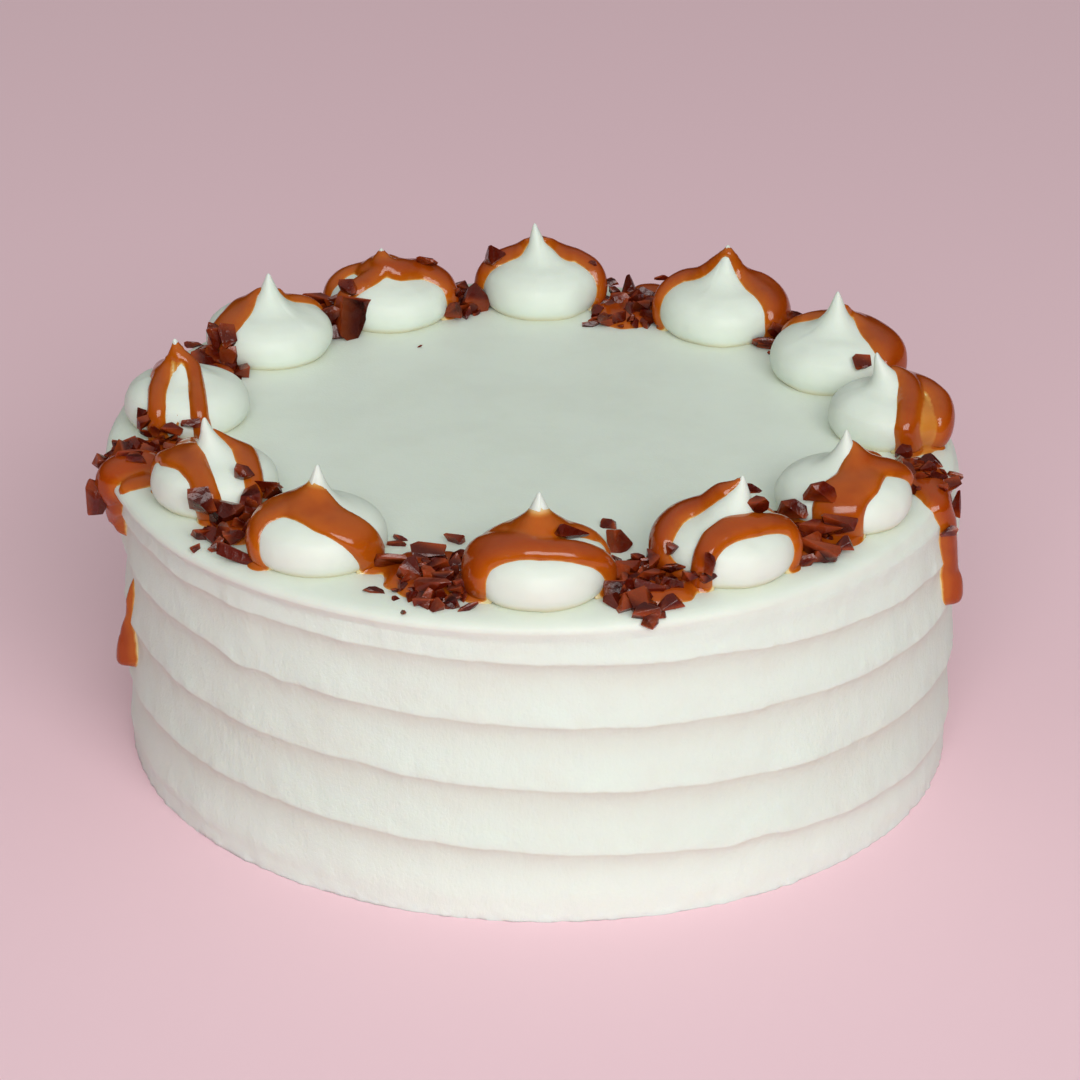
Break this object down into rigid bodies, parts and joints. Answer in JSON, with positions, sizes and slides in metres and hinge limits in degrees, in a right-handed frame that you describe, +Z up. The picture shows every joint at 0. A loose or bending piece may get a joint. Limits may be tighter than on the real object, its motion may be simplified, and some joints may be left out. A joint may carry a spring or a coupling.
{
  "type": "sticky toffee cake",
  "caption": "Round frosted layer cake with comb-lined sides, topped by a ring of piped kisses under caramel sauce with broken toffee pieces between them.",
  "frame": {"origin": "centre of the round base face, where the cake stands", "axes": "+Z up, -Y towards the front as pictured, +X to the right"},
  "size_m": [0.2153, 0.2135, 0.1047],
  "materials": {
    "cream_frosting": "soft satin cream",
    "kiss_cream": "satin cream under glossy caramel",
    "toffee": "glossy toffee in caramel"
  },
  "bodies": {
    "root": {"cake": "cream_frosting", "kiss_01": "kiss_cream", "kiss_02": "kiss_cream", "kiss_03": "kiss_cream", "kiss_04": "kiss_cream", "kiss_05": "kiss_cream", "kiss_06": "kiss_cream", "kiss_07": "kiss_cream", "kiss_08": "kiss_cream", "kiss_09": "kiss_cream", "kiss_10": "kiss_cream", "kiss_11": "kiss_cream", "kiss_12": "kiss_cream", "toffee_heap_01": "toffee", "toffee_heap_02": "toffee", "toffee_heap_03": "toffee", "toffee_heap_04": "toffee", "toffee_heap_05": "toffee", "toffee_heap_06": "toffee", "toffee_heap_07": "toffee", "toffee_heap_08": "toffee", "toffee_heap_09": "toffee", "toffee_heap_10": "toffee", "toffee_heap_11": "toffee", "toffee_heap_12": "toffee"}
  },
  "joints": []
}
